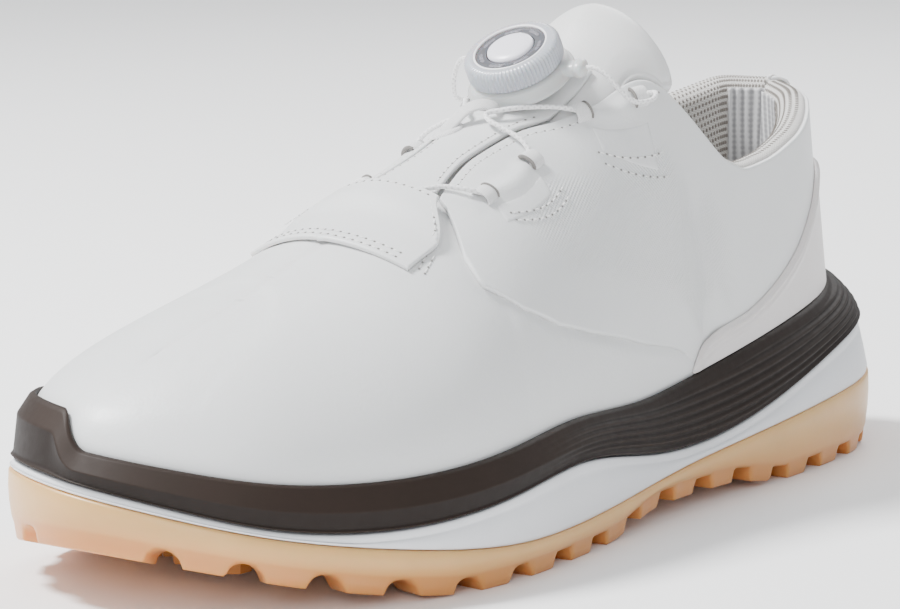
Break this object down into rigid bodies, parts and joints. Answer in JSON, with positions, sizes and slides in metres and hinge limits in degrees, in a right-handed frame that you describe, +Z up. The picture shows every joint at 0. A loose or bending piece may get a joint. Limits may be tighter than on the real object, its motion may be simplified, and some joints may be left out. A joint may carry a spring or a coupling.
{
  "type": "golf shoe",
  "caption": "Left low-cut leather golf shoe with cleated gum outsole, dark sole band and a dial that winds its lace over the tongue.",
  "frame": {"origin": "centre of the bounding box in plan, at ground level under the lugs", "axes": "toe along -Y, heel along +Y, lateral side +X, +Z up"},
  "size_m": [0.1113, 0.3, 0.1253],
  "materials": {
    "gum_rubber": "satin translucent gum",
    "white_midsole": "satin foamed polyurethane",
    "brown_band": "satin moulded",
    "shank_plastic": "matte",
    "fibre_board": "matte pressed fibre",
    "foam": "matte open foam",
    "lining_textile": "knitted mesh",
    "white_leather": "smooth coated leather",
    "heel_leather": "smooth coated leather",
    "white_webbing": "woven",
    "clear_plastic": "clear moulded",
    "smoked_plastic": "smoked moulded",
    "white_plastic": "moulded",
    "steel": "brushed"
  },
  "bodies": {
    "shoe": {"outsole": "gum_rubber", "midsole": "white_midsole", "sole_band": "brown_band", "shank": "shank_plastic", "lasting_board": "fibre_board", "insole_foam": "foam", "insole_cover": "lining_textile", "lateral_quarter": "white_leather", "medial_quarter": "white_leather", "vamp": "white_leather", "heel_cup": "heel_leather", "heel_stiffener": "fibre_board", "toe_puff": "fibre_board", "vamp_lining": "lining_textile", "quarter_lining": "lining_textile", "collar_padding": "foam", "collar_binding": "lining_textile", "tongue_cover": "white_leather", "tongue_padding": "foam", "tongue_lining": "lining_textile", "dial_panel": "white_leather", "throat_patch": "white_leather", "lace_guide_lateral_upper": "white_plastic", "lace_guide_lateral_lower": "white_plastic", "lace_guide_lateral_centre": "white_plastic", "lace_guide_medial_upper": "white_plastic", "lace_guide_medial_lower": "white_plastic", "lace_guide_medial_centre": "white_plastic", "guide_tab_lateral_upper": "white_webbing", "guide_tab_lateral_lower": "white_webbing", "guide_tab_medial_upper": "white_webbing", "guide_tab_medial_lower": "white_webbing", "lace": "white_webbing", "dial_base": "clear_plastic"},
    "dial_core": {"dial_screw": "steel"},
    "dial_turner": {"dial_knob": "clear_plastic", "dial_ratchet": "white_plastic", "dial_window": "smoked_plastic", "dial_cap": "white_plastic"},
    "lace_spool": {"dial_spool": "white_plastic"}
  },
  "joints": [
    {"name": "dial_lift", "type": "slide", "parent": "shoe", "child": "dial_core", "axis": [0, -0.515, 0.8572], "range_m": [0, 0.003]},
    {"name": "dial_turn", "type": "hinge", "parent": "dial_core", "child": "dial_turner", "pos_m": [0.0009, 0.0086, 0.1092], "axis": [0, -0.515, 0.8572], "continuous": true},
    {"name": "spool_turn", "type": "hinge", "parent": "shoe", "child": "lace_spool", "pos_m": [0.0009, 0.0086, 0.1092], "axis": [0, -0.515, 0.8572], "continuous": true}
  ],
  "couplings": [
    {"joint": "spool_turn", "follows": "dial_turn", "ratio": 1}
  ]
}
